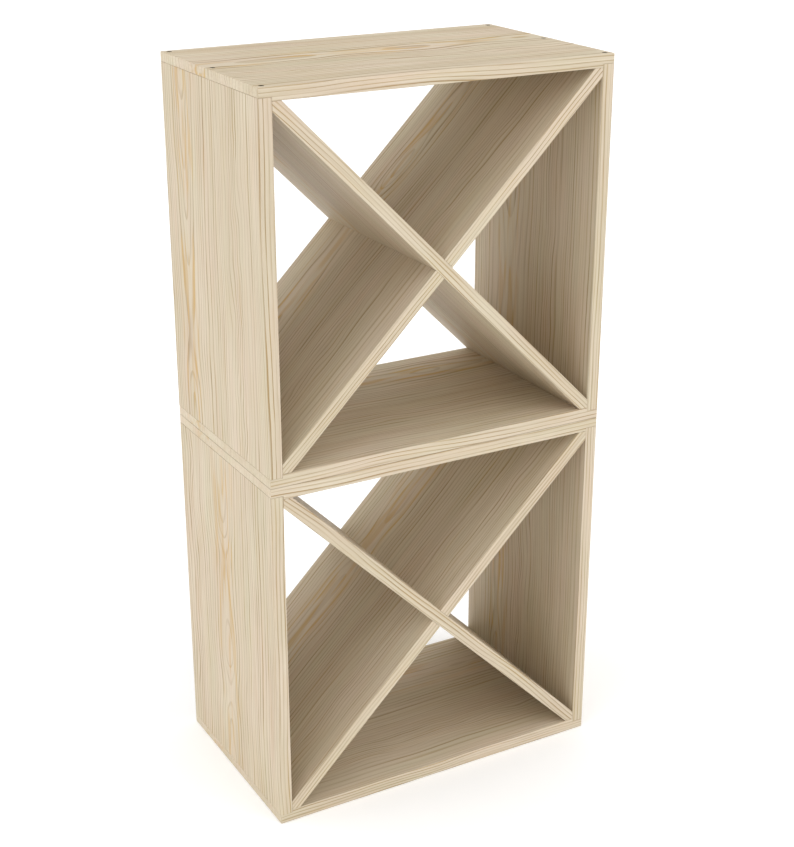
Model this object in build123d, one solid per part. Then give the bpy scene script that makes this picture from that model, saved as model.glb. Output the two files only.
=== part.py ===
from build123d import *
import math
import os

# A cube-module wine rack: two identical modules, one standing on the other.
# Millimetres, +Z up, +X to the right seen from the front, +Y towards the back,
# origin at the centre of the footprint on the floor.

# Module outside sizes
MODULE_WIDTH = 520.0
MODULE_DEPTH = 310.0
MODULE_HEIGHT = 520.0
MODULE_NAMES = ("lower", "upper")

# Boards
BOARD = 18.0  # planed pine board thickness
LIP = 13.0  # what the rebate leaves of a top or bottom panel over a side board
EASE = 1.0  # radius on the long edges of every board
END_BREAK = 0.5  # break on sawn ends where boards meet, seen as the joint line

# Half-lap crossing of the two diagonal dividers
LAP_GAP = 0.1  # play on each side of a slot and at its bottom

# Countersunk wood screw, 4 x 50
SCREW_LENGTH = 50.0
HEAD_RADIUS = 3.8
HEAD_RIM = 0.4
SHANK_RADIUS = 1.45
CREST_RADIUS = 2.0
ROOT_RADIUS = 1.3
THREAD_PITCH = 1.8
THREAD_START = 17.0  # from the top of the head
TIP_LENGTH = 5.0
RECESS_SPAN = 4.4
RECESS_SLOT = 0.95
RECESS_DEPTH = 2.0
HEAD_SINK = 0.3  # head top below the wood
SCREW_GAP = 0.05  # wood clear of the screw, all round
SCREW_FROM_FACE = 10.0  # first and last screw from the front and back of a panel

# Derived
INNER = MODULE_WIDTH - 2 * BOARD
SIDE_HEIGHT = MODULE_HEIGHT - 2 * LIP
REBATE = BOARD - LIP
SCREW_X = MODULE_WIDTH / 2 - BOARD / 2
SCREW_Y = MODULE_DEPTH / 2 - SCREW_FROM_FACE
HEAD_CONE = HEAD_RADIUS - CREST_RADIUS


def revolved(outline):
    """Solid of revolution about Z from (radius, height) points."""
    with BuildPart() as body:
        with BuildSketch(Plane.XZ):
            with BuildLine():
                Polyline(*outline, close=True)
            make_face()
        revolve(axis=Axis.Z)
    return body.part


def make_screw():
    """Wood screw along -Z with the top of its head at z = 0."""
    outline = [(0, 0), (HEAD_RADIUS, 0), (HEAD_RADIUS, -HEAD_RIM)]
    neck = HEAD_RIM + HEAD_RADIUS - SHANK_RADIUS
    outline += [(SHANK_RADIUS, -neck), (SHANK_RADIUS, -THREAD_START)]
    turns = int((SCREW_LENGTH - TIP_LENGTH - THREAD_START) / THREAD_PITCH)
    for turn in range(turns):
        top = THREAD_START + turn * THREAD_PITCH
        outline += [
            (ROOT_RADIUS, -top - 0.25 * THREAD_PITCH),
            (ROOT_RADIUS, -top - 0.55 * THREAD_PITCH),
            (CREST_RADIUS, -top - 0.85 * THREAD_PITCH),
        ]
    last = THREAD_START + turns * THREAD_PITCH
    outline += [(ROOT_RADIUS, -last - 0.25 * THREAD_PITCH), (0, -SCREW_LENGTH)]
    screw = revolved(outline)
    cut_height = Pos(0, 0, -RECESS_DEPTH / 2)
    cross = cut_height * Box(RECESS_SPAN, RECESS_SLOT, RECESS_DEPTH)
    cross += cut_height * Box(RECESS_SLOT, RECESS_SPAN, RECESS_DEPTH)
    return screw - cross


def make_screw_hole():
    """What the wood loses to one screw, along -Z from the outer face at z = 0."""
    head = HEAD_RADIUS + SCREW_GAP
    body = CREST_RADIUS + SCREW_GAP
    rim = HEAD_SINK + HEAD_RIM
    bottom = HEAD_SINK + SCREW_LENGTH
    outline = [
        (0, 1),
        (head, 1),
        (head, -rim),
        (body, -rim - head + body),
        (body, -bottom + TIP_LENGTH),
        (0, -bottom - SCREW_GAP),
    ]
    return revolved(outline)


def screw_places(side, up):
    """Places of the three screws of one panel end; up is +1 for a top panel."""
    face = MODULE_HEIGHT if up > 0 else 0.0
    turn = Rot(0, 0, 0) if up > 0 else Rot(180, 0, 0)
    rows = (-SCREW_Y, 0.0, SCREW_Y)
    return [Pos(side * SCREW_X, y, face) * turn for y in rows]


def make_panel(up):
    """Top (up = +1) or bottom (up = -1) panel, full width, rebated at both ends."""
    panel = fillet(Box(MODULE_WIDTH, MODULE_DEPTH, BOARD).edges(), EASE)
    centre = MODULE_HEIGHT - BOARD / 2 if up > 0 else BOARD / 2
    panel = Pos(0, 0, centre) * panel
    # The rebate cutter stops at the lip and at the shoulder and runs past the rest.
    over = 5.0
    lip_z = MODULE_HEIGHT - LIP if up > 0 else LIP
    cut_z = lip_z - up * (REBATE + over) / 2
    cutter = Box(BOARD + over, MODULE_DEPTH + over, REBATE + over)
    for side in (-1, 1):
        panel -= Pos(side * (MODULE_WIDTH / 2 - BOARD / 2 + over / 2), 0, cut_z) * cutter
        lip = panel.faces().filter_by(lambda face: abs(face.center().Z - lip_z) < 0.01)
        lip = lip.sort_by(Axis.X)[0 if side < 0 else -1]
        shoulder = side * (MODULE_WIDTH / 2 - BOARD)
        rim = [e for e in lip.edges() if abs(e.center().X - shoulder) > 0.5]
        panel = chamfer(rim, END_BREAK)
    for side in (-1, 1):
        for place in screw_places(side, up):
            panel -= place * make_screw_hole()
    return panel


def make_side(side):
    """Side board standing between the two rebates."""
    board = Box(BOARD, MODULE_DEPTH, SIDE_HEIGHT)
    board = fillet(board.edges().filter_by(Axis.Z), EASE)
    ends = board.faces().sort_by(Axis.Z)
    board = chamfer(ends[0].edges() + ends[-1].edges(), END_BREAK)
    board = Pos(side * SCREW_X, 0, MODULE_HEIGHT / 2) * board
    for up in (-1, 1):
        for place in screw_places(side, up):
            board -= place * make_screw_hole()
    return board


def make_divider(falling):
    """Diagonal board with a right-angled point at each end, half-lapped in the middle."""
    tip = INNER / math.sqrt(2)
    half = BOARD / 2
    outline = [
        (-tip, 0),
        (-tip + half, half),
        (tip - half, half),
        (tip, 0),
        (tip - half, -half),
        (-tip + half, -half),
    ]
    with BuildPart() as body:
        with BuildSketch(Plane.XZ):
            with BuildLine():
                Polyline(*outline, close=True)
            make_face()
        extrude(amount=MODULE_DEPTH / 2, both=True)
        fillet(body.faces().filter_by(Axis.Y).edges(), EASE)
    # The falling board is whole at the front and slotted from the back.
    depth = MODULE_DEPTH / 2 + LAP_GAP + 5
    middle = depth / 2 - LAP_GAP
    slot = Box(BOARD + 2 * LAP_GAP, depth, BOARD + 10)
    board = body.part - Pos(0, middle if falling else -middle, 0) * slot
    turn = Rot(0, 45, 0) if falling else Rot(0, -45, 0)
    return Pos(0, 0, MODULE_HEIGHT / 2) * turn * board


def write(name, shape):
    """One named node, as one STEP file."""
    shape.label = name
    export_step(shape, os.path.join("parts", name + ".step"))


os.makedirs("parts", exist_ok=True)

SIDES = (("left", -1), ("right", 1))
LEVELS = (("bottom", -1), ("top", 1))
screw = make_screw()
boards = {
    "left_side": make_side(-1),
    "right_side": make_side(1),
    "bottom_panel": make_panel(-1),
    "top_panel": make_panel(1),
    "divider_falling": make_divider(True),
    "divider_rising": make_divider(False),
}
for level, module in enumerate(MODULE_NAMES):
    lift = Pos(0, 0, level * MODULE_HEIGHT)
    for name, board in boards.items():
        write(module + "_" + name, lift * board)
    for level_name, up in LEVELS:
        for side_name, side in SIDES:
            sunk = Pos(0, 0, -HEAD_SINK)
            group = [lift * place * sunk * screw for place in screw_places(side, up)]
            solids = [item.solid() for item in group]
            name = "_".join((module, level_name, side_name, "screws"))
            write(name, Compound(children=solids))
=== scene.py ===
import math
from collections import namedtuple

import bpy
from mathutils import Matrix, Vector


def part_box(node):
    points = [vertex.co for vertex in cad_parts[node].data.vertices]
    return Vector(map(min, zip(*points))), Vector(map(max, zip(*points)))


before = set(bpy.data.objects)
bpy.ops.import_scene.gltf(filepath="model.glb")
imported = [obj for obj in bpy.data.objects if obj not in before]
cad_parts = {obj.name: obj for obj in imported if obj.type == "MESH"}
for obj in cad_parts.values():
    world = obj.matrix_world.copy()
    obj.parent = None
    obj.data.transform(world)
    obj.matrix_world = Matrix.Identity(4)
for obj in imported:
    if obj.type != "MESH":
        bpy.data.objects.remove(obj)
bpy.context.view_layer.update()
scene = bpy.context.scene

MM = 0.001
WHITE = (1.0, 1.0, 1.0, 1.0)
NO_SHIFT = (0.0, 0.0, 0.0)

# ---------------------------------------------------------------- camera
CAMERA_AT = Vector((-1.0535, -1.8999, 1.3818))
CAMERA_TURN = math.radians(29.367)  # to the right of +Y
CAMERA_DIP = math.radians(21.927)  # below the horizon
CAMERA_LENS = 68.47  # mm on a 36 mm sensor, along the frame's long side
CAMERA_SENSOR = 36.0
CAMERA_RANGE = (0.05, 200.0)

# ---------------------------------------------------------------- light and floor
# A white studio: even light all round, and three broad soft lights as patches of bright sky.
AMBIENT = 0.30
SOFT_LIGHTS = [  # the way towards each light, its strength, and the cosine where it fades out
    ((-1.0, 0.10, 0.25), 1.25, 0.55),
    ((0.75, -1.0, 0.10), 1.63, 0.55),
    ((0.0, 0.0, 1.0), 1.08, 0.30),
]
FLOOR_COLOUR = (0.95, 0.95, 0.95, 1.0)
FLOOR_GLOW = 0.12
FLOOR_SIZE = 60.0
FLOOR_DROP = 0.0005  # how far the floor is below the rack

# ---------------------------------------------------------------- pine: colours and lines
# Colours are linear. Early wood is the pale part of a year's ring, late wood its dark line.
EARLY = (0.607, 0.519, 0.388, 1.0)
LATE = (0.335, 0.226, 0.106, 1.0)
RESIN = (0.545, 0.365, 0.155, 1.0)
# The dark colour of the painted shade in the joints, with some dust.
SHADE_AND_DUST = (0.130, 0.075, 0.034, 1.0)
JOINT_SHADE_AND_DUST = 0.32  # how far painted shade, with some dust, darkens the joint of the two modules, and of a side with a panel
SEAM_SHADE_AND_DUST_WIDTH = 0.9  # mm of a panel's thickness that get painted shade and dust at that joint
END_SHADE_AND_DUST_WIDTH = 0.8  # mm of a side's height
FULL_SHADE_AND_DUST_EDGE = 0.2  # the last mm of either, where the painted shade and dust are full
HALF_BOARD = 9.0  # mm
RING_SQUASH = 1.3  # how much flatter than round the rings are, across a board's thickness
END_SQUASH = 0.25  # the same on a board's ends, where the rings show as upright lines
EDGE_LINES = 2.8  # lines across the thickness, as seen on a board's long edge
EDGE_STRENGTH = 1.15
END_STRENGTH = 0.36

# A year from 0 to 1: its line starts early in some years and late in others, is darkest from
# LINE_FULL to LINE_FADES, and ends with the year.
LINE_START = (0.36, 0.74)
LINE_FULL = 0.91
LINE_FADES = 0.94
PALEST_LINE = 0.46
DARKER_LINES = 0.60  # what the darkest line adds to the palest
DARKER_CURVE = 1.5  # above 1, most years have a pale line
YEAR_DRIFT = (0.22, 1.2)  # how fast the width of the years changes, and by how many years

# Where a change starts and ends and, if it isn't from 0 to 1, its value at either end.
WAVY_WANDER = (4.0, 48.0, 2.9, 0.45)  # mm beside a board's wavy lines
WAVY_STRENGTH = (4.0, 22.0, 1.05, 1.0)  # mm beside a board's wavy lines
HEART_STRENGTH = (2.0, 16.0, 0.55, 1.0)  # mm beside the pith, where rings show wide and pale
HEART_RESIN = (12.0, 42.0, 1.0, 0.15)  # mm beside the pith
FADING_STRENGTH = (0.32, 0.62, 0.42, 1.08)  # noise: a line fades in and out along its length
RESIN_STRENGTH = (0.47, 0.63)  # noise, from no resin to all of it
RESIN_IN_LINES = 1.2
RESIN_BETWEEN = 0.5
SHADE_AND_DUST_BREAKS = (0.3, 0.6, 0.45, 1.1)  # noise: the painted shade and dust in a joint are broken here and there
FACES_IT = (0.5, 0.8)  # a normal's part along an axis, from facing another way to facing it
FACES_IT_FLAT = (0.93, 0.99)  # the same, without the board's rounded corners

# ---------------------------------------------------------------- pine: wander and markings
# How fast each changes along the board, across it and through it, in waves per mm.
# The wander of the rings also has its reach in mm.
SLOW = ((0.0034, 0.005, 0.008), 8.0)
MIDDLE = ((0.010, 0.022, 0.03), 3.5)
QUICK = ((0.030, 0.12, 0.12), 0.35)
HEART = ((0.006, 0.004, 0.004), 13.0)
FADING = (0.008, 0.06, 0.06)
FIBRE = (0.020, 1.1, 1.1)
STREAK = (0.0045, 0.34, 0.34)
CLOUD = (0.0035, 0.02, 0.03)
RESIN_PATCH = (0.010, 0.10, 0.10)
# How fast the painted shade and dust in a joint are broken up.
SHADE_AND_DUST_PATCH = (0.02, 0.02, 0.02)
HUE = (0.006, 0.03, 0.03)

# How far each makes the tone lighter or darker, and how far the hue changes.
FIBRE_TONE = 0.26
STREAK_TONE = 0.34
CLOUD_TONE = 0.26
HUE_TONE = 0.05
RED, GREEN, BLUE = (0.8, 0.6), (1.0, -0.3), (1.35, 0.4)  # each channel's share of tone and hue

# The surface: a matt planed board, smoother on its dark lines, with fibres that can be felt.
PINE_ROUGHNESS = 0.60
LINE_ROUGHNESS = -0.10
FIBRE_ROUGHNESS = 0.16
LINE_HEIGHT = 0.5
FIBRE_HEIGHT = 0.5
STREAK_HEIGHT = 0.25

# ---------------------------------------------------------------- screws
SCREW_DARK = (0.0015, 0.0015, 0.0015, 1.0)
SCREW_WORN = (0.007, 0.006, 0.005, 1.0)
SCREW_GRAIN = (2500.0, 2500.0, 2500.0)  # waves per metre
SCREW_ROUGHNESS = (0.3, 0.7, 0.38, 0.58)  # noise, and the roughness there

# ---------------------------------------------------------------- random places
NOISE_GAIN = 2.6  # Blender's noise stays near its middle, and this spreads it to -1 to +1

# What each unit of a board's seed adds to the places where its patterns are read.
SEED_STEP = (17.3, 5.1, 9.7)
HUE_SEED_STEP = (4.1, 11.3, 2.9)
DARK_SEED_STEP = 31.0
WIDE_SEED_STEP = 57.0

# ---------------------------------------------------------------- boards
# How a board is turned about +Y from lying flat along +X.
FLAT = 0.0
UPRIGHT = -math.pi / 2
FALLING = math.pi / 4
RISING = -math.pi / 4
AT_THE_SEAM = ("upper_bottom_panel", "lower_top_panel")

# pith: its place in mm, to the back and through the board. lean: how the pith climbs along
# the board. wave and strength: of the lines. tone: lighter or darker. ring: a year's growth
# in mm. wavy_at: how far to the back the wavy lines are, in mm.
Grain = namedtuple("Grain", "pith lean seed wave strength tone ring wavy_at")
BOARDS = {
    "upper_top_panel": (FLAT, Grain((22.0, 27.0), 0.016, 1.0, 1.3, 1.5, 0.01, 9.0, -60.0)),
    "upper_bottom_panel": (FLAT, Grain((95.0, 26.0), -0.012, 2.0, 1.0, 0.9, 0.01, 6.4, -40.0)),
    "upper_left_side": (UPRIGHT, Grain((88.0, 25.0), 0.018, 3.0, 1.2, 1.1, 0.0, 7.2, -70.0)),
    "upper_right_side": (UPRIGHT, Grain((60.0, 28.0), 0.014, 4.0, 0.55, 0.85, 0.0, 6.6, -50.0)),
    "upper_divider_falling": (FALLING, Grain((70.0, -25.0), 0.012, 5.0, 0.9, 0.85, 0.0, 6.4, -30.0)),
    "upper_divider_rising": (RISING, Grain((85.0, 26.0), 0.014, 6.0, 1.0, 0.8, 0.01, 6.4, -60.0)),
    "lower_top_panel": (FLAT, Grain((60.0, -26.0), 0.012, 7.0, 1.1, 0.9, 0.02, 6.6, 0.0)),
    "lower_bottom_panel": (FLAT, Grain((80.0, 25.0), 0.014, 8.0, 1.0, 0.85, -0.01, 6.4, -80.0)),
    "lower_left_side": (UPRIGHT, Grain((8.0, 25.0), 0.014, 9.0, 1.2, 1.05, 0.0, 7.2, 122.0)),
    "lower_right_side": (UPRIGHT, Grain((70.0, 29.0), -0.012, 10.0, 0.55, 0.85, 0.0, 6.6, 0.0)),
    "lower_divider_falling": (FALLING, Grain((80.0, -26.0), 0.012, 11.0, 0.9, 0.85, 0.0, 6.4, 30.0)),
    "lower_divider_rising": (RISING, Grain((75.0, 25.0), -0.014, 12.0, 1.0, 0.8, 0.01, 6.4, -90.0)),
}


class Graph:
    """Short calls for building the nodes of a material or a world."""

    def __init__(self, owner):
        self.owner = owner
        owner.use_nodes = True
        self.tree = owner.node_tree
        self.tree.nodes.clear()

    def node(self, kind, **settings):
        made = self.tree.nodes.new(kind)
        for key, value in settings.items():
            setattr(made, key, value)
        return made

    def put(self, socket, value):
        if isinstance(value, bpy.types.NodeSocket):
            self.tree.links.new(value, socket)
        else:
            socket.default_value = value

    def math(self, operation, first, second=0.0, third=0.0, clamp=False):
        made = self.node("ShaderNodeMath", operation=operation, use_clamp=clamp)
        for socket, value in zip(made.inputs, (first, second, third)):
            self.put(socket, value)
        return made.outputs[0]

    def add(self, *terms):
        total = terms[0]
        for term in terms[1:]:
            total = self.math("ADD", total, term)
        return total

    def minus(self, first, second):
        return self.math("SUBTRACT", first, second)

    def times(self, first, second):
        return self.math("MULTIPLY", first, second)

    def size(self, value):
        return self.math("ABSOLUTE", value)

    def remap(self, value, low, high, to_low=0.0, to_high=1.0, smooth=True):
        made = self.node("ShaderNodeMapRange", clamp=True)
        made.interpolation_type = "SMOOTHSTEP" if smooth else "LINEAR"
        for socket, given in zip(made.inputs, (value, low, high, to_low, to_high)):
            self.put(socket, given)
        return made.outputs[0]

    def between(self, share, first, second):
        """first where share is 0, second where it is 1."""
        return self.remap(share, 0.0, 1.0, first, second, smooth=False)

    def split(self, vector):
        made = self.node("ShaderNodeSeparateXYZ")
        self.put(made.inputs[0], vector)
        return list(made.outputs)

    def scaled(self, vector, by, shift):
        made = self.node("ShaderNodeMapping")
        self.put(made.inputs["Vector"], vector)
        made.inputs["Scale"].default_value = by
        made.inputs["Location"].default_value = shift
        return made.outputs[0]

    def turned(self, vector, turn, middle=NO_SHIFT, unit=1.0):
        """The vector as read from middle, on axes turned about +Y, in the given unit."""
        made = self.node("ShaderNodeMapping", vector_type="TEXTURE")
        self.put(made.inputs["Vector"], vector)
        made.inputs["Location"].default_value = middle
        made.inputs["Rotation"].default_value = (0.0, turn, 0.0)
        made.inputs["Scale"].default_value = (unit, unit, unit)
        return made.outputs[0]

    def noise(self, vector, detail=2.0, rough=0.5):
        made = self.node("ShaderNodeTexNoise", noise_dimensions="3D")
        self.put(made.inputs["Vector"], vector)
        made.inputs["Scale"].default_value = 1.0
        made.inputs["Detail"].default_value = detail
        made.inputs["Roughness"].default_value = rough
        return made.outputs["Fac"]

    def signed_noise(self, vector, reach, detail=1.0):
        """Noise from about -reach to +reach."""
        return self.times(self.minus(self.noise(vector, detail), 0.5), NOISE_GAIN * reach)

    def chance(self, value):
        """A steady random number from 0 to 1 for each whole value."""
        made = self.node("ShaderNodeTexWhiteNoise", noise_dimensions="1D")
        self.put(made.inputs["W"], value)
        return made.outputs["Value"]

    def blend(self, share, first, second, mode="MIX"):
        made = self.node("ShaderNodeMix", data_type="RGBA", blend_type=mode)
        self.put(made.inputs[0], share)
        self.put(made.inputs[6], first)
        self.put(made.inputs[7], second)
        return made.outputs[2]

    def bumped(self, height, strength, distance):
        made = self.node("ShaderNodeBump")
        made.inputs["Strength"].default_value = strength
        made.inputs["Distance"].default_value = distance
        self.put(made.inputs["Height"], height)
        return made.outputs[0]

    def surface(self, colour, roughness, specular, normal=None, glow=0.0):
        shader = self.node("ShaderNodeBsdfPrincipled")
        self.put(shader.inputs["Base Color"], colour)
        self.put(shader.inputs["Roughness"], roughness)
        shader.inputs["Specular IOR Level"].default_value = specular
        if normal is not None:
            self.put(shader.inputs["Normal"], normal)
        if glow:
            shader.inputs["Emission Color"].default_value = WHITE
            shader.inputs["Emission Strength"].default_value = glow
        output = self.node("ShaderNodeOutputMaterial")
        self.put(output.inputs["Surface"], shader.outputs[0])
        return self.owner


class Pine(Graph):
    """Solid pine for one board: rings round a pith that runs along the board.

    Places are in mm from the board's middle: along the board, across it to the back, and
    through its thickness. Half of the board's height is given for the joints at its ends.
    """

    def __init__(self, name, turn, grain, centre, half_height):
        super().__init__(bpy.data.materials.new("pine_" + name))
        self.grain = grain
        self.half_height = half_height
        self.shift = self.seeded(SEED_STEP)
        coordinates = self.node("ShaderNodeTexCoord").outputs
        self.local = self.turned(coordinates["Object"], turn, centre, MM)
        self.along, self.across, self.through = self.split(self.local)
        facing = self.split(self.turned(coordinates["Normal"], turn))
        self.on_end = self.remap(self.size(facing[0]), *FACES_IT)
        self.on_edge = self.remap(self.size(facing[1]), *FACES_IT)
        self.on_face = self.remap(self.size(facing[2]), *FACES_IT_FLAT)
        self.off_wavy = self.size(self.minus(self.across, grain.wavy_at))

    def seeded(self, step):
        return [part * self.grain.seed for part in step]

    def pattern(self, speed, detail=2.0, rough=0.5):
        return self.noise(self.scaled(self.local, speed, self.shift), detail, rough)

    def wander(self, speed, reach):
        place = self.scaled(self.local, speed, self.shift)
        return self.signed_noise(place, reach * self.grain.wave)

    def rings(self):
        """How far to the side of the pith a place is, and how far from it in the rings."""
        middle = self.times(self.wander(*MIDDLE), self.remap(self.off_wavy, *WAVY_WANDER))
        side = self.minus(self.across, self.grain.pith[0])
        side = self.add(side, self.wander(*SLOW), middle, self.wander(*QUICK))
        depth = self.minus(self.through, self.grain.pith[1])
        depth = self.math("MULTIPLY_ADD", self.along, self.grain.lean, depth)
        squash = self.between(self.on_end, RING_SQUASH, END_SQUASH)
        depth = self.times(self.add(depth, self.wander(*HEART)), squash)
        radius = self.math("SQRT", self.add(self.times(side, side), self.times(depth, depth)))
        return side, radius

    def years(self, radius):
        """Rings counted in years, wide ones and narrow ones."""
        years = self.math("DIVIDE", radius, self.grain.ring)
        speed, reach = YEAR_DRIFT
        place = self.scaled(years, (speed, 0.0, 0.0), self.shift)
        years = self.add(years, self.signed_noise(place, reach, 0.0))
        # The rings lean over, so that a long edge shows lines too. An end shows them upright.
        lines = math.copysign(EDGE_LINES, -self.grain.pith[1])
        leaning = self.times(self.through, lines / (2 * HALF_BOARD))
        return self.add(years, self.times(leaning, self.minus(1.0, self.on_end)))

    def late_wood(self, years, side):
        """The dark line of each year, 0 to 1."""
        seed = self.grain.seed
        year = self.math("FLOOR", years)
        within = self.minus(years, year)
        dark_year = self.chance(self.add(year, DARK_SEED_STEP * seed + 0.5))
        wide_year = self.chance(self.add(year, WIDE_SEED_STEP * seed + 0.5))
        rise = self.remap(within, self.between(wide_year, *LINE_START), LINE_FULL)
        line = self.times(rise, self.remap(within, LINE_FADES, 1.0, 1.0, 0.0))
        level = self.math("POWER", dark_year, DARKER_CURVE)
        level = self.math("MULTIPLY_ADD", level, DARKER_LINES, PALEST_LINE)
        level = self.times(level, self.remap(self.pattern(FADING), *FADING_STRENGTH))
        level = self.times(level, self.remap(self.off_wavy, *WAVY_STRENGTH))
        level = self.times(level, self.remap(self.size(side), *HEART_STRENGTH))
        level = self.times(level, self.between(self.on_edge, self.grain.strength, EDGE_STRENGTH))
        level = self.times(level, self.between(self.on_end, 1.0, END_STRENGTH))
        return self.math("MULTIPLY", line, level, clamp=True)

    def resin_share(self, late, side):
        """Resin collects round the heart, most of all in its dark lines."""
        patches = self.remap(self.pattern(RESIN_PATCH, 1.0), *RESIN_STRENGTH)
        by_heart = self.remap(self.size(side), *HEART_RESIN)
        in_lines = self.math("MULTIPLY_ADD", late, RESIN_IN_LINES, RESIN_BETWEEN)
        return self.times(patches, self.times(by_heart, in_lines))

    def tint(self, fibre, streak):
        """Fibres, streaks and clouds of tone, and stretches a little pinker or greener."""
        fine = self.add(
            self.times(self.minus(fibre, 0.5), FIBRE_TONE),
            self.times(self.minus(streak, 0.5), STREAK_TONE),
            self.times(self.minus(self.pattern(CLOUD), 0.5), CLOUD_TONE),
        )
        place = self.scaled(self.local, HUE, self.seeded(HUE_SEED_STEP))
        hue = self.signed_noise(place, HUE_TONE)
        channels = self.node("ShaderNodeCombineXYZ")
        for socket, (of_tone, of_hue) in zip(channels.inputs, (RED, GREEN, BLUE)):
            value = self.math("MULTIPLY_ADD", fine, of_tone, 1.0 + self.grain.tone)
            self.put(socket, self.math("MULTIPLY_ADD", hue, of_hue, value))
        return channels.outputs[0]

    def near(self, value, limit, width):
        """0 where value is over width short of the limit, and 1 where it is almost there."""
        return self.remap(self.size(value), limit - width, limit - FULL_SHADE_AND_DUST_EDGE)

    def end_shade_and_dust_mask(self):
        """Where an upright board's ends meet the panels, for painted shade and dust."""
        return self.near(self.along, self.half_height, END_SHADE_AND_DUST_WIDTH)

    def seam_shade_and_dust_mask(self):
        """The corners of a panel's faces, but not the faces, for painted shade and dust at the seam.
        """
        corner = self.near(self.through, HALF_BOARD, SEAM_SHADE_AND_DUST_WIDTH)
        return self.times(corner, self.minus(1.0, self.on_face))

    def shaded_and_dusty(self, colour, joint):
        """The colour with painted shade and dust in a joint, broken here and there."""
        broken = self.remap(self.pattern(SHADE_AND_DUST_PATCH), *SHADE_AND_DUST_BREAKS)
        share = self.times(self.times(joint, broken), JOINT_SHADE_AND_DUST)
        return self.blend(share, colour, SHADE_AND_DUST)


def pine(name, turn, grain):
    low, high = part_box(name)
    half_height = (high[2] - low[2]) / 2 / MM
    centre = (Vector(low) + Vector(high)) / 2
    g = Pine(name, turn, grain, centre, half_height)
    side, radius = g.rings()
    late = g.late_wood(g.years(radius), side)
    fibre = g.pattern(FIBRE, 3.0, 0.65)
    streak = g.pattern(STREAK, 2.0, 0.6)
    colour = g.blend(late, EARLY, LATE)
    colour = g.blend(g.resin_share(late, side), colour, RESIN)
    colour = g.blend(1.0, colour, g.tint(fibre, streak), "MULTIPLY")
    # Painted shade, with some dust, in the joint of the two modules and where the sides meet the
    # panels.
    if name in AT_THE_SEAM:
        colour = g.shaded_and_dusty(colour, g.seam_shade_and_dust_mask())
    elif turn == UPRIGHT:
        colour = g.shaded_and_dusty(colour, g.end_shade_and_dust_mask())
    height = g.add(
        g.times(late, LINE_HEIGHT),
        g.times(fibre, FIBRE_HEIGHT),
        g.times(streak, STREAK_HEIGHT),
    )
    normal = g.bumped(height, strength=0.25, distance=0.3 * MM)
    roughness = g.add(
        PINE_ROUGHNESS,
        g.times(late, LINE_ROUGHNESS),
        g.times(g.minus(fibre, 0.5), FIBRE_ROUGHNESS),
    )
    return g.surface(colour, roughness, specular=0.3, normal=normal)


def screw_black():
    """Blackened steel, a little worn."""
    g = Graph(bpy.data.materials.new("screw_black"))
    place = g.node("ShaderNodeTexCoord").outputs["Object"]
    grain = g.noise(g.scaled(place, SCREW_GRAIN, NO_SHIFT), 3.0, 0.6)
    colour = g.blend(grain, SCREW_DARK, SCREW_WORN)
    roughness = g.remap(grain, *SCREW_ROUGHNESS)
    normal = g.bumped(grain, strength=0.2, distance=0.1 * MM)
    return g.surface(colour, roughness, specular=0.05, normal=normal)


def wear(name, material):
    """Gives a CAD node one material all over."""
    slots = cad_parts[name].data.materials
    if not slots:
        slots.append(material)
    for index in range(len(slots)):
        slots[index] = material


for name, (turn, grain) in BOARDS.items():
    wear(name, pine(name, turn, grain))
black = screw_black()
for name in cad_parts:
    if name.endswith("_screws"):
        wear(name, black)

# ---------------------------------------------------------------- stage
bpy.ops.mesh.primitive_plane_add(size=FLOOR_SIZE, location=(0.0, 0.0, -FLOOR_DROP))
floor = bpy.context.object
floor.name = "floor"
floor_white = Graph(bpy.data.materials.new("floor_white"))
floor.data.materials.append(floor_white.surface(FLOOR_COLOUR, 0.9, specular=0.1, glow=FLOOR_GLOW))

scene.world = bpy.data.worlds.new("studio")
sky = Graph(scene.world)
direction = sky.node("ShaderNodeTexCoord").outputs["Generated"]
strength = AMBIENT
for towards, power, fade in SOFT_LIGHTS:
    nearness = sky.node("ShaderNodeVectorMath", operation="DOT_PRODUCT")
    sky.put(nearness.inputs[0], direction)
    nearness.inputs[1].default_value = Vector(towards).normalized()
    strength = sky.add(strength, sky.times(sky.remap(nearness.outputs["Value"], fade, 1.0), power))
background = sky.node("ShaderNodeBackground")
background.inputs["Color"].default_value = WHITE
sky.put(background.inputs["Strength"], strength)
sky.put(sky.node("ShaderNodeOutputWorld").inputs["Surface"], background.outputs[0])
scene.view_settings.view_transform = "Standard"

camera_data = bpy.data.cameras.new("camera")
camera_data.sensor_width = CAMERA_SENSOR
camera_data.lens = CAMERA_LENS
camera_data.clip_start, camera_data.clip_end = CAMERA_RANGE
camera = bpy.data.objects.new("camera", camera_data)
scene.collection.objects.link(camera)
camera.location = CAMERA_AT
level = math.cos(CAMERA_DIP)
look = Vector((math.sin(CAMERA_TURN) * level, math.cos(CAMERA_TURN) * level, -math.sin(CAMERA_DIP)))
camera.rotation_euler = look.to_track_quat("-Z", "Y").to_euler()
scene.camera = camera
